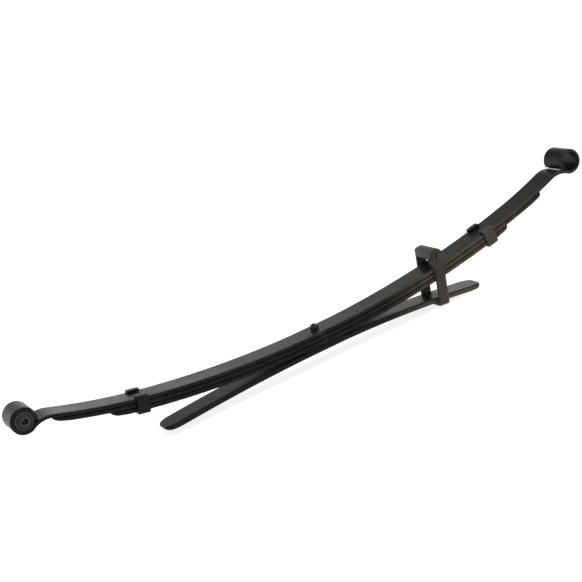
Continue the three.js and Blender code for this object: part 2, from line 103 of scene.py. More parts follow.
# ---- finer than the CAD -----------------------------------------------------------------
LEAF_EDGE = 0.46                                  # rounding of a leaf's edges, as a share of its thickness
LEAF_STEP, SEAT_STEP = 14, 15                     # spacing of a leaf's stations
PAST_SEAT = 3                                     # from the flat seat's end to the next station
TIP_STATIONS = (27, 22, 18, 15, 12, 9.5, 7.5, 5.8, 4.4, 3.2)   # distances from a tip
ARM_STATIONS = (9, 7, 5.5, 4.2, 3.2, 2.4)                      # the same on the bracket's arms
BEND_STEP, ROLL_STEP = math.radians(7), math.radians(6)
BOLT_PITCH, STOP_BOLT_PITCH = 1.5, 1.25
CLIP_BEND_R, STOP_BEND_R = 4.2, 4.4               # of the straps' corners, at the middle of the steel
CORNER_PARTS = 8                                  # straight parts in a strap's bent corner
CLIP_EDGE, STOP_EDGE, SPACER_EDGE = 1.1, 1.0, 0.6  # rounding of edges
FILLET, TUBE_FILLET, SLEEVE_FILLET, WASHER_FILLET = 0.5, 0.6, 1.4, 0.4   # of turned pieces
PAST = 3.0                                        # how far a drill starts and ends outside a piece
SHARP, HEX_SHARP, BOLT_SHARP = 32.0, 24.0, 40.0   # degrees above which an edge is shaded sharp

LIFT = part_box("centre_nut")[0].z / MM - GAP      # height of the main leaf's flat seat
SECOND_TOP = -(MAIN_T + GAP)
THIRD_TOP = SECOND_TOP - SECOND_T - GAP
PACK_BOTTOM = THIRD_TOP - THIRD_T
OVERLOAD_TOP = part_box("centre_spacer")[0].z / MM - GAP - LIFT


# ---- mesh helpers -----------------------------------------------------------------------
def finish_mesh(name, bm, material, sharp=SHARP):
    """Turns a bmesh in millimetres into a smooth-shaded object."""
    bmesh.ops.recalc_face_normals(bm, faces=bm.faces)
    mesh = bpy.data.meshes.new(name)
    bm.to_mesh(mesh)
    bm.free()
    mesh.transform(Matrix.Scale(MM, 4))
    mesh.polygons.foreach_set("use_smooth", [True] * len(mesh.polygons))
    mesh.set_sharp_from_angle(angle=math.radians(sharp))
    mesh.materials.append(material)
    obj = bpy.data.objects.new(name, mesh)
    bpy.context.scene.collection.objects.link(obj)
    return obj


def keep_rest(obj):
    """Stores where each vertex is at rest, so that patterns stay put while a leaf bends."""
    places = np.zeros(len(obj.data.vertices) * 3, np.float32)
    obj.data.vertices.foreach_get("co", places)
    obj.data.attributes.new("rest_place", "FLOAT_VECTOR", "POINT").data.foreach_set("vector", places)


def section(half, lo, hi, edge, steps=5, hold=0.6):
    """A rounded rectangle of (across, offset) pairs, with a support point beside each corner."""
    e = min(edge, (hi - lo) / 2 * 0.98, half * 0.9)
    hold = min(hold, half * 0.05)
    x = half - e
    corners = ((x, lo + e, -90), (x, hi - e, 0), (-x, hi - e, 90), (-x, lo + e, 180))
    points = []
    for cx, cz, start in corners:
        angles = [math.radians(start + 90 * i / steps) for i in range(steps + 1)]
        corner = [(cx + e * math.cos(a), cz + e * math.sin(a)) for a in angles]
        inward = -math.copysign(hold, cx)
        if start in (-90, 90):
            corner.insert(0, (corner[0][0] + inward, corner[0][1]))
        else:
            corner.append((corner[-1][0] + inward, corner[-1][1]))
        points += corner
    return points


def strip(name, stations, place, material, edge=2.4, rounded=(True, True), plan=None):
    """A flat bar through stations of (u, v, heading, half width, low offset, high offset).

    plan gives the half width at a distance from a rounded tip.
    """
    def shifted(station, by, inset=0.0):
        u, v, h, half, lo, hi = station
        return (u + by * math.cos(h), v + by * math.sin(h), h, half - inset, lo + inset, hi - inset)

    def end(station, sign):
        e = min(edge, (station[5] - station[4]) / 2 * 0.9)
        rings = []
        for a in [math.radians(degrees) for degrees in (0, 22, 45, 68, 88)]:
            back, inset = e * (1 - math.sin(a)), e * (1 - math.cos(a))
            u, v, h, half, lo, hi = shifted(station, -sign * back, inset)
            rings.append((u, v, h, plan(back) if plan else half, lo, hi))
        return rings

    run = list(stations)
    if rounded[1]:
        run[-1:] = end(run[-1], 1)
    if rounded[0]:
        run[:1] = end(run[0], -1)[::-1]
    bm = bmesh.new()
    loops = []
    for u, v, h, half, lo, hi in run:
        outline = section(half, lo, hi, edge)
        loops.append([bm.verts.new(place(u - o * math.sin(h), v + o * math.cos(h), a)) for a, o in outline])
    for a, b in zip(loops, loops[1:]):
        for i in range(len(a)):
            j = (i + 1) % len(a)
            bm.faces.new((a[i], a[j], b[j], b[i]))
    bm.faces.new(loops[0][::-1])
    bm.faces.new(loops[-1])
    return finish_mesh(name, bm, material)


def filleted(points, radius, closed, steps=3):
    """Rounds the corners of an outline of (radius, height) pairs."""
    out = []
    n = len(points)
    for i, point in enumerate(points):
        if not closed and i in (0, n - 1):
            out.append(tuple(point))
            continue
        p, a, b = Vector(point), Vector(points[i - 1]), Vector(points[(i + 1) % n])
        before, after = a - p, b - p
        r = min(radius, before.length * 0.4, after.length * 0.4)
        start, finish = p + before.normalized() * r, p + after.normalized() * r
        for k in range(steps + 1):
            t = k / steps
            out.append(tuple(start * (1 - t) ** 2 + p * 2 * t * (1 - t) + finish * t ** 2))
    return out


def around(name, rows, place, material, closed=False, segments=64, sharp=SHARP):
    """Rows around an axis. A row is (radius, height), or a function of the angle that gives them."""
    bm = bmesh.new()
    loops = []
    for row in rows:
        loop = []
        for i in range(segments):
            a = 2 * math.pi * i / segments
            r, h = row(a) if callable(row) else row
            loop.append(bm.verts.new(place(r * math.cos(a), r * math.sin(a), h)))
        loops.append(loop)
    pairs = list(zip(loops, loops[1:])) + ([(loops[-1], loops[0])] if closed else [])
    for a, b in pairs:
        for i in range(segments):
            j = (i + 1) % segments
            bm.faces.new((a[i], a[j], b[j], b[i]))
    if not closed:
        bm.faces.new(loops[0][::-1])
        bm.faces.new(loops[-1])
    return finish_mesh(name, bm, material, sharp)


def hex_rows(flats, low, high, chamfers):
    """Rows of a hexagon's side from low to high, with its corners turned down where chamfers says."""
    face_r = flats * 0.47

    def side(a):
        within = (a + math.pi / 6) % (math.pi / 3) - math.pi / 6
        return min(flats / 2 / math.cos(within), flats / math.sqrt(3) * 0.985)

    def row(base, sign, cut, back, lift):
        slope = 0.58 if cut else 0.06
        return lambda a: (side(a) - back, base + sign * (max(0.1, (side(a) - face_r) * slope) + lift))

    return [
        (face_r, low), row(low, 1, chamfers[0], 0.15, -0.05), row(low, 1, chamfers[0], 0.0, 0.15),
        row(high, -1, chamfers[1], 0.0, 0.15), row(high, -1, chamfers[1], 0.15, -0.05), (face_r, high),
    ]


def thread_rows(radius, pitch, low, high, step=0.22):
    """Rows of a real helical thread that ends in a chamfer at high."""
    depth = pitch * 0.5

    def row(h):
        def at(a):
            phase = (h / pitch - a / (2 * math.pi)) % 1.0
            r = radius - depth * min(1.0, max(0.0, 1.25 - abs(phase - 0.5) * 4))
            return min(r, radius - 0.9 + (high - h) * 0.9), h
        return at

    count = max(2, round((high - low) / step))
    return [row(low + (high - low) * i / count) for i in range(count + 1)]


def drill(obj, radius, low, high, place, segments=48):
    """Drills a round hole through obj, along place's height."""
    rows = [(radius, low), (radius, high)]
    cutter = around("cutter", rows, place, obj.data.materials[0], segments=segments)
    modifier = obj.modifiers.new("hole", "BOOLEAN")
    modifier.operation, modifier.solver, modifier.object = "DIFFERENCE", "EXACT", cutter
    bpy.context.view_layer.update()
    made = bpy.data.meshes.new_from_object(obj.evaluated_get(bpy.context.evaluated_depsgraph_get()))
    obj.modifiers.clear()
    obj.data = made
    made.set_sharp_from_angle(angle=math.radians(SHARP))
    bpy.data.objects.remove(cutter)


# ---- places -------------------------------------------------------------------------------
def arch(side, s, rear_camber_from=math.inf):
    """(distance out, height, heading) on the pack's top line, s millimetres from the centre."""
    if s <= SEAT_HALF:
        return s, 0.0, 0.0
    inner = min(s, FRONT_CAMBER_FROM if side < 0 else rear_camber_from)
    outer_r = FRONT_CAMBER_R if side < 0 else REAR_CAMBER_R
    a = inner / CAMBER_R
    u = CAMBER_R * math.sin(a)
    v = CAMBER_R * (math.cos(SEAT_HALF / CAMBER_R) - math.cos(a))
    outer = (s - inner) / outer_r
    u += outer_r * (math.sin(a + outer) - math.sin(a))
    v += outer_r * (math.cos(a) - math.cos(a + outer))
    return u, v, a + outer


def main_line(side, s):
    """The same on the main leaf, which bends more towards the rear eye."""
    return arch(side, s, REAR_CAMBER_FROM)


def overload(side, s):
    """The same on the overload leaf's top line, which bends down."""
    if s <= SEAT_HALF:
        return s, OVERLOAD_TOP, 0.0
    radius = OVERLOAD_R[side]
    a = s / radius
    return radius * math.sin(a), OVERLOAD_TOP + radius * (math.cos(a) - math.cos(SEAT_HALF / radius)), -a


def outward(side):
    """Places a point that is u out from the centre on one side."""
    return lambda u, v, across: Vector((side * u, side * across, v + LIFT))


def on_line(line, side, s, d=0.0):
    """Places a point given along +X, across and up, at s on a line and d above it."""
    u, v, h = line(side, s)
    along = Vector((math.cos(h), 0, side * math.sin(h)))
    up = Vector((-side * math.sin(h), 0, math.cos(h)))
    origin = Vector((side * u, 0, v + LIFT)) + up * d
    return lambda x, y, z: origin + along * x + Vector((0, y, 0)) + up * z


def cross(place, x=0.0, z=0.0):
    """Turns a place so that its height runs along +Y, about the axis at (x, z)."""
    return lambda a, b, h: place(x + a, h, z + b)


def bolt_axis(x, y, h):
    """Places a point on the centre bolt's axis."""
    return Vector((x, y, h + LIFT))


def spread(a, b, step):
    """Values from a to b, about step apart."""
    n = max(1, round(abs(b - a) / step))
    return [a + (b - a) * i / n for i in range(n + 1)]


def rounded_end(half_width, r):
    """Gives the half width at t millimetres from an end whose corners have radius r."""
    return lambda t: half_width - r + math.sqrt(r * r - max(0.0, r - t) ** 2)


tip_plan = rounded_end(LEAF_W / 2, TIP_CORNER_R)
overload_plan = rounded_end(LEAF_W / 2, OVERLOAD_CORNER_R)


def leaf_run(line, side, tip, top, thickness, tip_share, plan):
    """Stations of a leaf from the centre out to its tapered tip."""
    drop = (1 - tip_share) * thickness
    run = []
    for s in spread(0, tip - TIP_TAPER, LEAF_STEP) + [tip - t for t in TIP_STATIONS] + [tip]:
        u, v, h = line(side, s)
        t = tip - s
        thin = drop * np.interp(t, [0, TIP_TAPER / 3, TIP_TAPER], [1, 1 / 3, 0])
        run.append((u, v, h, plan(t), top - thickness + thin, top))
    return run


def eye_run(side):
    """Stations along the main leaf's middle as it dips and rolls into its eye, and the eye's centre."""
    begin, dip, roll = EYES[side]
    half_t, half_w = MAIN_T / 2, LEAF_W / 2
    u, v, h = main_line(side, begin)
    u, v = u + half_t * math.sin(h), v - half_t * math.cos(h)
    bend_u, bend_v = u + EYE_BEND_R * math.sin(h), v - EYE_BEND_R * math.cos(h)
    join = h + math.pi / 2 - math.radians(dip)
    roll_r = EYE_R - half_t
    eye_u = bend_u + (EYE_BEND_R + roll_r) * math.cos(join)
    eye_v = bend_v + (EYE_BEND_R + roll_r) * math.sin(join)
    run = []
    for a in spread(h + math.pi / 2, join, BEND_STEP)[1:]:
        point = (bend_u + EYE_BEND_R * math.cos(a), bend_v + EYE_BEND_R * math.sin(a))
        run.append((*point, a - math.pi / 2, half_w, -half_t, half_t))
    for a in spread(join - math.pi, h + math.radians(roll), ROLL_STEP)[1:]:
        point = (eye_u + roll_r * math.cos(a), eye_v + roll_r * math.sin(a))
        run.append((*point, a + math.pi / 2, half_w, -half_t, half_t))
    return run, (side * eye_u, eye_v + LIFT)


def bent(points, radius, step=12):
    """Stations (u, v, heading) along a polyline whose corners are bent to a radius."""
    out = []
    for i, point in enumerate(points):
        p = Vector(point)
        if i in (0, len(points) - 1):
            d = Vector(points[1]) - p if i == 0 else p - Vector(points[-2])
            out.append((p.x, p.y, math.atan2(d.y, d.x)))
            continue
        a, b = (p - Vector(points[i - 1])).normalized(), (Vector(points[i + 1]) - p).normalized()
        turn = math.asin(max(-1, min(1, a.x * b.y - a.y * b.x)))
        back = radius * math.tan(abs(turn) / 2)
        centre = p - a * back + Vector((-a.y, a.x)) * math.copysign(radius, turn)
        for k in range(CORNER_PARTS + 1):
            h = math.atan2(a.y, a.x) + turn * k / CORNER_PARTS
            q = centre - Vector((-math.sin(h), math.cos(h))) * math.copysign(radius, turn)
            out.append((q.x, q.y, h))
    filled = [out[0]]
    for a, b in zip(out, out[1:]):
        length = math.hypot(b[0] - a[0], b[1] - a[1])
        if abs(a[2] - b[2]) < 1e-6 and length > step:
            for t in spread(0, 1, step / length)[1:-1]:
                filled.append((a[0] + (b[0] - a[0]) * t, a[1] + (b[1] - a[1]) * t, a[2]))
        filled.append(b)
    return filled


# ---- materials ------------------------------------------------------------------------------
class Finish:
    """A node material whose patterns follow the pieces' places at rest."""

    def __init__(self, name):
        self.material = bpy.data.materials.new(name)
        self.material.use_nodes = True
        self.tree = self.material.node_tree
        self.shader = self.tree.nodes["Principled BSDF"]
        self.where = self.node("ShaderNodeAttribute")
        self.where.attribute_name = "rest_place"

    def node(self, kind, **inputs):
        made = self.tree.nodes.new(kind)
        for key, value in inputs.items():
            self.put(made.inputs[key.replace("_", " ")], value)
        return made

    def put(self, socket, value):
        if isinstance(value, bpy.types.NodeSocket):
            self.tree.links.new(value, socket)
        else:
            socket.default_value = value

    def stretch(self, x, y, z):
        made = self.node("ShaderNodeVectorMath")
        made.operation = "MULTIPLY"
        self.put(made.inputs[0], self.where.outputs["Vector"])
        self.put(made.inputs[1], (x, y, z))
        return made.outputs[0]

    def noise(self, scale, detail=3.0, rough=0.55, where=None):
        made = self.node("ShaderNodeTexNoise", Scale=scale, Detail=detail, Roughness=rough)
        self.put(made.inputs["Vector"], where or self.where.outputs["Vector"])
        return made.outputs["Fac"]

    def ramp(self, value, low, high, to_low=0.0, to_high=1.0):
        made = self.node("ShaderNodeMapRange")
        for i, v in enumerate((value, low, high, to_low, to_high)):
            self.put(made.inputs[i], v)
        return made.outputs[0]

    def maths(self, operation, a, b):
        made = self.node("ShaderNodeMath")
        made.operation = operation
        self.put(made.inputs[0], a)
        self.put(made.inputs[1], b)
        return made.outputs[0]

    def mix(self, share, a, b):
        made = self.node("ShaderNodeMix")
        made.data_type = "RGBA"
        self.put(made.inputs[0], share)
        self.put(made.inputs[6], a)
        self.put(made.inputs[7], b)
        return made.outputs[2]

    def edges(self, low=0.505, high=0.56):
        return self.ramp(self.node("ShaderNodeNewGeometry").outputs["Pointiness"], low, high)

    def near(self, point, reach):
        """1 close to a point in millimetres, falling to 0 at reach."""
        made = self.node("ShaderNodeVectorMath")
        made.operation = "DISTANCE"
        self.put(made.inputs[0], self.where.outputs["Vector"])
        self.put(made.inputs[1], tuple(c * MM for c in point))
        return self.ramp(made.outputs["Value"], reach * MM * 0.4, reach * MM, 1.0, 0.0)

    def bumps(self, *layers):
        """Stacks (height, strength, distance in millimetres) layers."""
        normal = None
        for height, strength, distance in layers:
            made = self.node("ShaderNodeBump", Strength=strength, Distance=distance * MM, Height=height)
            if normal:
                self.put(made.inputs["Normal"], normal)
            normal = made.outputs["Normal"]
        self.put(self.shader.inputs["Normal"], normal)

    def done(self, colour, roughness, **sockets):
        self.put(self.shader.inputs["Base Color"], colour)
        self.put(self.shader.inputs["Roughness"], roughness)
        for key, value in sockets.items():
            self.put(self.shader.inputs[key.replace("_", " ")], value)
        return self.material


def rgb(r, g, b):
    """A shader colour from sRGB values of 0 to 255."""
    linear = [((c / 255 + 0.055) / 1.055) ** 2.4 if c > 10 else c / 255 / 12.92 for c in (r, g, b)]
    return (*linear, 1.0)


# The painted warm light on the rear half's sides, in metres: where it comes in and fades along the leaf, and
# where a leaf's side starts.
SIDE_LIGHT_IN, SIDE_LIGHT_OUT, SIDE_LIGHT_FACES = (0.16, 0.27), (0.42, 0.62), (0.0285, 0.0308)


def painted_steel(name, dark, light, worn, roughness, patches=(), painted_side_light=None):
    """Dipped black paint: cloudiness, orange peel, faint rub marks along the leaf and thin paint on edges.

    patches are (point, reach, tint) stains. painted_side_light is the tint of a painted warm light on the
    rear half's sides.
    """
    f = Finish(name)
    clouds = f.noise(14, 5, 0.6)
    mottle = f.noise(170, 3, 0.6)
    rubs = f.ramp(f.noise(1.0, 3, 0.7, f.stretch(16, 620, 620)), 0.60, 0.74)
    edge = f.maths("MULTIPLY", f.edges(), f.ramp(f.noise(95, 4, 0.7), 0.42, 0.66))
    colour = f.mix(f.ramp(f.maths("ADD", clouds, f.maths("MULTIPLY", mottle, 0.5)), 0.55, 1.0), dark, light)
    colour = f.mix(f.maths("MULTIPLY", rubs, 0.32), colour, worn)
    colour = f.mix(f.maths("MULTIPLY", edge, 0.55), colour, worn)
    for point, reach, tint in patches:
        share = f.maths("MULTIPLY", f.near(point, reach), f.ramp(f.noise(240, 4, 0.7), 0.35, 0.6))
        colour = f.mix(share, colour, tint)
    if painted_side_light:
        # painted light: the rear half's side faces are tinted warm and lighter, standing in for a warm lamp
        # at the right
        place = f.node("ShaderNodeSeparateXYZ", Vector=f.where.outputs["Vector"])
        starts, fades = f.ramp(place.outputs["X"], *SIDE_LIGHT_IN), f.ramp(place.outputs["X"], *SIDE_LIGHT_OUT, 1.0, 0.2)
        along = f.maths("MULTIPLY", starts, fades)
        on_side = f.ramp(f.maths("ABSOLUTE", place.outputs["Y"], 0.0), *SIDE_LIGHT_FACES)
        patchy = f.ramp(f.noise(60, 4, 0.6), 0.30, 0.60, 0.55, 1.0)
        colour = f.mix(f.maths("MULTIPLY", f.maths("MULTIPLY", along, on_side), patchy), colour, painted_side_light)
    rough = f.ramp(f.maths("ADD", clouds, mottle), 0.6, 1.4, roughness - 0.08, roughness + 0.10)
    rough = f.maths("ADD", rough, f.maths("MULTIPLY", f.maths("ADD", rubs, edge), 0.10))
    f.bumps((f.noise(34, 3), 0.22, 0.5), (f.noise(520, 3), 0.34, 0.12), (f.noise(2400, 2), 0.12, 0.03))
    return f.done(colour, rough, Specular_IOR_Level=0.10)


def bare_metal(name, dark, light, stain, roughness, metallic, grain=1500.0):
    """Turned or formed metal with fine grain and stains."""
    f = Finish(name)
    clouds = f.noise(120, 5, 0.65)
    fine = f.noise(grain, 3, 0.6)
    colour = f.mix(f.ramp(f.maths("ADD", clouds, f.maths("MULTIPLY", fine, 0.4)), 0.45, 0.95), dark, light)
    colour = f.mix(f.ramp(f.noise(210, 5, 0.7), 0.56, 0.70, 0.0, 0.7), colour, stain)
    rough = f.ramp(clouds, 0.3, 0.7, roughness - 0.07, roughness + 0.10)
    f.bumps((clouds, 0.15, 0.15), (fine, 0.18, 0.05))
    return f.done(colour, rough, Metallic=metallic)


def moulded(name, dark, light, roughness):
    """Rubber or plastic with a bloom and a fine moulded texture."""
    f = Finish(name)
    bloom = f.noise(75, 5, 0.65)
    fine = f.noise(1300, 3, 0.6)
    colour = f.mix(f.ramp(f.maths("ADD", bloom, f.maths("MULTIPLY", fine, 0.3)), 0.45, 0.9), dark, light)
    f.bumps((f.noise(260, 3), 0.15, 0.2), (fine, 0.3, 0.06))
    return f.done(colour, f.ramp(bloom, 0.3, 0.7, roughness - 0.08, roughness + 0.06))


front_run, front_eye = eye_run(-1)
rear_run = eye_run(1)[0]
# where bare steel shows by the front roll's end
ROLL_SEAM = (front_eye[0] + 24.0, -14.0, front_eye[1] + 6.0)

# The last colour is painted light: a warm tint that lightens the sides of the rear half.
spring_paint = painted_steel(
    "spring_paint", rgb(9, 9, 8), rgb(19, 19, 16), rgb(62, 57, 48), 0.34,
    [(ROLL_SEAM, 20.0, rgb(92, 74, 56))], rgb(67, 59, 50),
)
bracket_paint = painted_steel("bracket_paint", rgb(46, 40, 35), rgb(64, 56, 49), rgb(112, 96, 80), 0.46)
black_hardware = bare_metal("black_hardware", rgb(14, 14, 13), rgb(30, 30, 27), rgb(54, 44, 34), 0.42, 0.4)
zinc_hardware = bare_metal("zinc_hardware", rgb(31, 30, 25), rgb(48, 47, 40), rgb(30, 26, 21), 0.48, 0.4)
rubber = moulded("rubber", rgb(24, 24, 21), rgb(44, 43, 37), 0.62)
plastic = moulded("plastic", rgb(26, 26, 26), rgb(42, 42, 41), 0.55)


# ---- pieces ---------------------------------------------------------------------------------
def piece(obj, nodes, body=None, bend=None):
    """Finishes a piece: stores its rest places, hangs it on the body it rides on, or for a bending piece
    bakes its place into its mesh, and hides the CAD nodes it replaces.
    """
    keep_rest(obj)
    if bend:
        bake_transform(obj)
    else:
        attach(obj, body)
    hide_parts(*nodes)


# the flexing leaves with their tip inserts and clips, a half pack at a time
for side, half_body, word, run in ((-1, FRONT, "front", front_run), (1, REAR, "rear", rear_run)):
    # main leaf with its eye
    distances = spread(0, SEAT_HALF, SEAT_STEP) + spread(SEAT_HALF + PAST_SEAT, EYES[side][0], LEAF_STEP)
    middle = MAIN_T / 2
    stations = [
        (u + middle * math.sin(h), v - middle * math.cos(h), h, LEAF_W / 2, -middle, middle)
        for u, v, h in (main_line(side, s) for s in distances)
    ]
    main = strip(
        f"main_leaf_{word}_half", stations + run, outward(side), spring_paint,
        edge=MAIN_T * LEAF_EDGE, rounded=(False, True),
    )
    drill(main, BOLT_R + GAP, -MAIN_T - PAST, PAST, bolt_axis)
    piece(main, [f"main_leaf_{word}", "main_leaf_centre"], bend=half_body)

    # second and third leaves
    for name, tips, top, thickness in (
        ("second_leaf", SECOND_TIP, SECOND_TOP, SECOND_T),
        ("third_leaf", THIRD_TIP, THIRD_TOP, THIRD_T),
    ):
        stations = leaf_run(arch, side, tips[side], top, thickness, TIP_SHARE, tip_plan)
        leaf = strip(
            f"{name}_{word}_half", stations, outward(side), spring_paint,
            edge=thickness * LEAF_EDGE, rounded=(False, True), plan=tip_plan,
        )
        drill(leaf, BOLT_R + GAP, top - thickness - PAST, top + PAST, bolt_axis)
        if name == "second_leaf":
            seat = on_line(arch, side, tips[side] - INSERT_BACK, top)
            drill(leaf, INSERT_R + GAP, -thickness - PAST, PAST, seat)
            drill(leaf, INSERT_CAP_R + GAP, -INSERT_CAP_T - GAP, PAST, seat)
        else:
            clip_place = on_line(arch, side, CLIP_AT[side], PACK_BOTTOM)
            drill(leaf, RIVET_R + GAP, -PAST, thickness + PAST, clip_place)
        piece(leaf, [f"{name}_{word}", f"{name}_centre"], bend=half_body)

    # plastic insert in the second leaf's tip
    outline = [
        (2, -SECOND_T), (INSERT_R, -SECOND_T), (INSERT_R, -INSERT_CAP_T),
        (INSERT_CAP_R, -INSERT_CAP_T), (INSERT_CAP_R, 0), (2, 0),
    ]
    insert = around(
        f"{word}_tip_insert_pad", filleted(outline, FILLET, False),
        on_line(arch, side, SECOND_TIP[side] - INSERT_BACK, SECOND_TOP), plastic,
    )
    piece(insert, [f"{word}_tip_insert"], half_body)

    # rebound clip around the three leaves
    strap = CLIP_T / 2
    inner = LEAF_W / 2 + GAP + CLIP_SLACK
    y, low, high = inner + strap, -GAP - strap, CLIP_HEADROOM - PACK_BOTTOM + strap
    tab = inner - CLIP_TAB
    path = bent([(-tab, high), (-y, high), (-y, low), (y, low), (y, high), (tab, high)], CLIP_BEND_R)
    at = on_line(arch, side, CLIP_AT[side], PACK_BOTTOM)
    clip = strip(
        f"{word}_clip_strap", [(*p, CLIP_W / 2, -strap, strap) for p in path],
        lambda u, v, across: at(across, u, v), spring_paint, edge=CLIP_EDGE,
    )
    drill(clip, RIVET_R + GAP, -GAP - CLIP_T - PAST, PAST, at)
    piece(clip, [f"{word}_clip"], half_body)


# domed rivets up through the clips and the third leaf
base = -GAP - CLIP_T - GAP
dome = [math.radians(a) for a in (80, 65, 50, 36, 23, 11, 2)]
rows = [(RIVET_HEAD_R * math.cos(a), base - RIVET_HEAD_H * math.sin(a)) for a in dome]
rows += [(RIVET_HEAD_R - 0.2, base), (RIVET_R, base), (RIVET_R, THIRD_T - GAP)]
for side, body, word in ((-1, FRONT, "front"), (1, REAR, "rear")):
    at = on_line(arch, side, CLIP_AT[side], PACK_BOTTOM)
    made = around(f"{word}_clip_rivet_domed", rows, at, black_hardware)
    piece(made, [f"{word}_clip_rivet"], body)


# overload leaf and the spacer over it
def overload_half(side):
    """Stations of one half of the overload leaf, along +X."""
    run = leaf_run(overload, side, OVERLOAD_TIP[side], 0, OVERLOAD_T, OVERLOAD_TIP_SHARE, overload_plan)
    return [(side * u, v, side * h, half, lo, hi) for u, v, h, half, lo, hi in run]


overload_leaf = strip(
    "overload_leaf_bar", overload_half(-1)[::-1] + overload_half(1)[1:], outward(1), spring_paint,
    edge=OVERLOAD_T * LEAF_EDGE, plan=overload_plan,
)
stack_bottom = OVERLOAD_TOP - OVERLOAD_T
drill(overload_leaf, BOLT_R + GAP, stack_bottom - PAST, OVERLOAD_TOP + PAST, bolt_axis)
stop_place = on_line(overload, 1, STOP_AT)
drill(overload_leaf, RIVET_R + GAP, -OVERLOAD_T - PAST, PAST, stop_place)
piece(overload_leaf, ["overload_leaf"], CENTRE)

spacer_low, spacer_high = (corner.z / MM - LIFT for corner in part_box("centre_spacer"))
spacer_t = spacer_high - spacer_low
stations = [(x, spacer_low, 0.0, LEAF_W / 2, 0.0, spacer_t) for x in spread(-SEAT_HALF, SEAT_HALF, SEAT_STEP)]
spacer = strip("centre_spacer_plate", stations, outward(1), black_hardware, edge=SPACER_EDGE)
drill(spacer, BOLT_R + GAP, spacer_low - PAST, spacer_high + PAST, bolt_axis)
piece(spacer, ["centre_spacer"], CENTRE)

# centre bolt and nut
head_low = -LIFT
head_top, nut_top, bolt_top = stack_bottom - GAP, GAP + NUT_H, GAP + NUT_H + BOLT_END
head = [
    (2, head_low), (BOLT_HEAD_R - 1, head_low), (BOLT_HEAD_R, head_low + 1),
    (BOLT_HEAD_R, head_top), (BOLT_R, head_top), (BOLT_R, 0),
]
rows = filleted(head, FILLET, False) + thread_rows(BOLT_R, BOLT_PITCH, nut_top - 2, bolt_top)
made = around("centre_bolt_turned", rows, bolt_axis, black_hardware, sharp=BOLT_SHARP)
piece(made, ["centre_bolt"], CENTRE)


def nut(name, flats, low, high, bore, place):
    """A hexagonal nut with chamfered corners and bore."""
    chamfer = 0.9
    side_rows = hex_rows(flats, low, high, (True, True))
    bore_rows = [(bore + chamfer, high), (bore, high - chamfer), (bore, low + chamfer)]
    rows = [(bore + chamfer, low), *side_rows, *bore_rows]
    return around(name, rows, place, black_hardware, closed=True, segments=96, sharp=HEX_SHARP)


made = nut("centre_nut_hex", NUT_FLATS, GAP, nut_top, BOLT_R + GAP, bolt_axis)
piece(made, ["centre_nut"], CENTRE)


# front bushing
def tube(name, outer, inner, half, place, material, fillet=TUBE_FILLET):
    """A tube or thick sleeve with rounded rims."""
    outline = [(inner, -half), (outer, -half), (outer, half), (inner, half)]
    return around(name, filleted(outline, fillet, True), place, material, closed=True, segments=80)


def eye_place(x, z, h):
    """Places a point around the front eye's axis, h along it."""
    return Vector((front_eye[0] + x, h, front_eye[1] + z))


sleeve_r = EYE_R - MAIN_T - GAP
rubber_r = sleeve_r - OUTER_SLEEVE_T - GAP
made = tube(
    "bushing_outer_sleeve_ring", sleeve_r, sleeve_r - OUTER_SLEEVE_T, LEAF_W / 2,
    eye_place, zinc_hardware,
)
piece(made, ["bushing_outer_sleeve"], FRONT)
hub = INNER_SLEEVE_R + GAP
groove = (rubber_r + hub) / 2
lip = [
    (hub, RUBBER_HALF + RUBBER_LIP), (groove - 1, RUBBER_HALF + RUBBER_LIP),
    (groove, RUBBER_HALF - RUBBER_LIP), (groove + 1, RUBBER_HALF), (rubber_r, RUBBER_HALF),
]
outline = lip + [(r, -h) for r, h in lip[::-1]]
made = around(
    "bushing_rubber_ring", filleted(outline, FILLET, True), eye_place, rubber,
    closed=True, segments=80,
)
piece(made, ["bushing_rubber"], FRONT)
made = tube(
    "bushing_inner_sleeve_tube", INNER_SLEEVE_R, BUSH_BORE_R, INNER_SLEEVE_HALF,
    eye_place, zinc_hardware,
)
piece(made, ["bushing_inner_sleeve"], CORE)

# stop bracket, its cross tube, sleeve and bolt
strap = STOP_T / 2
y, low, high = STOP_INNER + strap, -OVERLOAD_T - GAP - strap, STOP_PIN_H + STOP_ARM_END


def leaning(u, v, across):
    """Places a point on the bracket, whose arms lean back above the leaf."""
    return stop_place(across + STOP_PIN_X * max(0.0, v) / STOP_PIN_H, u, v)


arm_plan = rounded_end(STOP_W / 2, STOP_ARM_CORNER_R)
path = bent([(-y, high), (-y, low), (y, low), (y, high)], STOP_BEND_R, 9)
near_arm = [(-y, high - t, -math.pi / 2) for t in ARM_STATIONS[::-1]]
far_arm = [(y, high - t, math.pi / 2) for t in ARM_STATIONS]
below_ends = [p for p in path[1:-1] if p[1] < high - ARM_STATIONS[0] - 0.5]
path = [path[0], *near_arm, *below_ends, *far_arm, path[-1]]
stations = [(*p, arm_plan(high - p[1]), -strap, strap) for p in path]
bracket = strip("stop_bracket_strap", stations, leaning, bracket_paint, edge=STOP_EDGE, plan=arm_plan)
pin = cross(stop_place, STOP_PIN_X, STOP_PIN_H)
drill(bracket, STOP_BOLT_R + GAP, -STOP_INNER - STOP_T - PAST, STOP_INNER + STOP_T + PAST, pin)
stop_low = -OVERLOAD_T - GAP - STOP_T
drill(bracket, RIVET_R + GAP, stop_low - PAST, PAST - OVERLOAD_T, stop_place)
drill(bracket, RIVET_HEAD_R + GAP, stop_low - PAST, stop_low + STOP_RIVET_HEAD_H + 2 * GAP, stop_place)
piece(bracket, ["stop_bracket"], CENTRE)
head_low, head_high = stop_low + GAP, stop_low + GAP + STOP_RIVET_HEAD_H
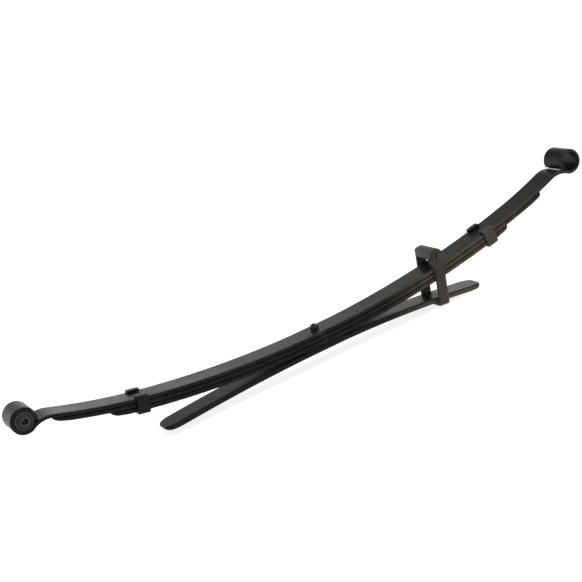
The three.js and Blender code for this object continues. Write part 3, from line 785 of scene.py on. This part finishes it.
rows = [
    (1.0, head_low), (RIVET_HEAD_R - 0.5, head_low), (RIVET_HEAD_R, head_low + 0.5),
    (RIVET_HEAD_R, head_high), (RIVET_R, head_high), (RIVET_R, -GAP),
]
made = around("stop_bracket_rivet_flat", rows, stop_place, black_hardware)
piece(made, ["stop_bracket_rivet"], CENTRE)
made = tube("stop_tube_steel", STOP_TUBE_R, STOP_BOLT_R + GAP, STOP_INNER - GAP, pin, black_hardware)
piece(made, ["stop_tube"], CENTRE)
made = tube(
    "stop_sleeve_rubber", STOP_SLEEVE_R, STOP_TUBE_R + GAP, STOP_INNER - 1,
    pin, rubber, SLEEVE_FILLET,
)
piece(made, ["stop_sleeve"], CENTRE)

face = STOP_INNER + STOP_T + GAP
nut_low = face + STOP_WASHER_T + GAP
end = nut_low + STOP_NUT_H + STOP_BOLT_END
head_low = -face - STOP_HEX_H
rows = [(1, head_low), *hex_rows(STOP_HEX, head_low, -face, (True, False)), (STOP_BOLT_R, -face)]
rows += [(STOP_BOLT_R, nut_low - 2), *thread_rows(STOP_BOLT_R, STOP_BOLT_PITCH, nut_low, end)]
made = around("stop_bolt_hex", rows, pin, zinc_hardware, segments=96, sharp=HEX_SHARP)
piece(made, ["stop_bolt"], CENTRE)
made = nut("stop_nut_hex", STOP_HEX, nut_low, nut_low + STOP_NUT_H, STOP_BOLT_R + GAP, pin)
piece(made, ["stop_nut"], CENTRE)
hole, washer_top = STOP_BOLT_R + GAP, face + STOP_WASHER_T
ring = [(hole, face), (STOP_WASHER_R, face), (STOP_WASHER_R, washer_top), (hole, washer_top)]
made = around("stop_washer_ring", filleted(ring, WASHER_FILLET, True), pin, black_hardware, closed=True)
piece(made, ["stop_washer"], CENTRE)

# ---- stage, lights and camera, in metres ----------------------------------------------------
FLOOR_HALF, FLOOR_DROP = 60.0, 0.0005
FLOOR_GREY, FLOOR_GLOW = 0.34, 0.82
OVERHEAD = 3.2                                    # brightness of the white sky overhead
SOFTBOX_AT, SOFTBOX_AIM = Vector((3.6, -2.6, 0.7)), Vector((0.4, 0, 0.05))
CAMERA_AT = (-1.08804, -2.73270, 1.04340)
CAMERA_RIGHT, CAMERA_UP = (0.85149, -0.43050, -0.29938), (0.39305, 0.14607, 0.90784)
CAMERA_BACK = (-0.34709, -0.89069, 0.29359)
CAMERA_LENS, CAMERA_SENSOR = 92.78, 36.0          # millimetres

bm = bmesh.new()
bmesh.ops.create_grid(bm, x_segments=8, y_segments=8, size=FLOOR_HALF)
floor_mesh = bpy.data.meshes.new("floor")
bm.to_mesh(floor_mesh)
bm.free()
floor = bpy.data.objects.new("floor", floor_mesh)
floor.location.z = cad_bounds[0].z - FLOOR_DROP
bpy.context.scene.collection.objects.link(floor)
floor_material = bpy.data.materials.new("floor")
floor_material.use_nodes = True
floor_shader = floor_material.node_tree.nodes["Principled BSDF"]
floor_shader.inputs["Base Color"].default_value = (FLOOR_GREY, FLOOR_GREY, FLOOR_GREY, 1)
floor_shader.inputs["Emission Color"].default_value = (1, 1, 1, 1)
floor_shader.inputs["Emission Strength"].default_value = FLOOR_GLOW
floor_shader.inputs["Roughness"].default_value = 0.9
floor_shader.inputs["Specular IOR Level"].default_value = 0.0
floor_mesh.materials.append(floor_material)

world = bpy.data.worlds.new("studio")
bpy.context.scene.world = world
world.use_nodes = True
tree = world.node_tree
coords = tree.nodes.new("ShaderNodeTexCoord")
split = tree.nodes.new("ShaderNodeSeparateXYZ")
tree.links.new(coords.outputs["Generated"], split.inputs[0])


def horizon(levels):
    """The sky by elevation, from (sine of the elevation, brightness) pairs.

    The first two pairs are the horizon's and the zenith's. All but the white overhead is slightly warm.
    """
    ramp = tree.nodes.new("ShaderNodeValToRGB")
    tree.links.new(split.outputs["Z"], ramp.inputs[0])
    stops = ramp.color_ramp.elements
    for index, (position, level) in enumerate(levels):
        stop = stops[index] if index < 2 else stops.new(position)
        stop.position = position
        warm = (1, 1, 1) if level == OVERHEAD else (1, 0.99, 0.95)
        stop.color = (*(level * share for share in warm), 1)
    return ramp.outputs[0]


upper_sky = [(0.45, 0.16), (0.72, 0.12), (0.84, OVERHEAD)]
far_sky = horizon([(0.0, 1.95), (1.0, OVERHEAD), (0.17, 1.95), (0.28, 1.7), (0.34, 0.50), *upper_sky])
near_sky = horizon([(0.0, 0.40), (1.0, OVERHEAD), (0.30, 0.40), *upper_sky])
sides = tree.nodes.new("ShaderNodeMapRange")
sides.inputs["From Min"].default_value, sides.inputs["From Max"].default_value = -0.2, 0.2
tree.links.new(split.outputs["Y"], sides.inputs["Value"])
sky = tree.nodes.new("ShaderNodeMix")
sky.data_type = "RGBA"
tree.links.new(sides.outputs["Result"], sky.inputs["Factor"])
tree.links.new(near_sky, sky.inputs[6])
tree.links.new(far_sky, sky.inputs[7])
tree.links.new(sky.outputs[2], tree.nodes["Background"].inputs["Color"])

lamp = bpy.data.lights.new("side_softbox", "AREA")
lamp.shape, lamp.size, lamp.size_y, lamp.energy = "RECTANGLE", 2.0, 1.2, 75
softbox = bpy.data.objects.new("side_softbox", lamp)
softbox.location = SOFTBOX_AT
softbox.rotation_euler = (SOFTBOX_AIM - SOFTBOX_AT).to_track_quat("-Z", "Y").to_euler()
bpy.context.scene.collection.objects.link(softbox)

camera_data = bpy.data.cameras.new("camera")
camera = bpy.data.objects.new("camera", camera_data)
camera_data.lens, camera_data.sensor_width = CAMERA_LENS, CAMERA_SENSOR
camera_data.clip_end = 200
turn = Matrix((CAMERA_RIGHT, CAMERA_UP, CAMERA_BACK)).transposed().to_4x4()
camera.matrix_world = Matrix.Translation(CAMERA_AT) @ turn
bpy.context.scene.collection.objects.link(camera)
bpy.context.scene.camera = camera
bpy.context.scene.view_settings.view_transform = "Standard"

bpy.context.view_layer.update()
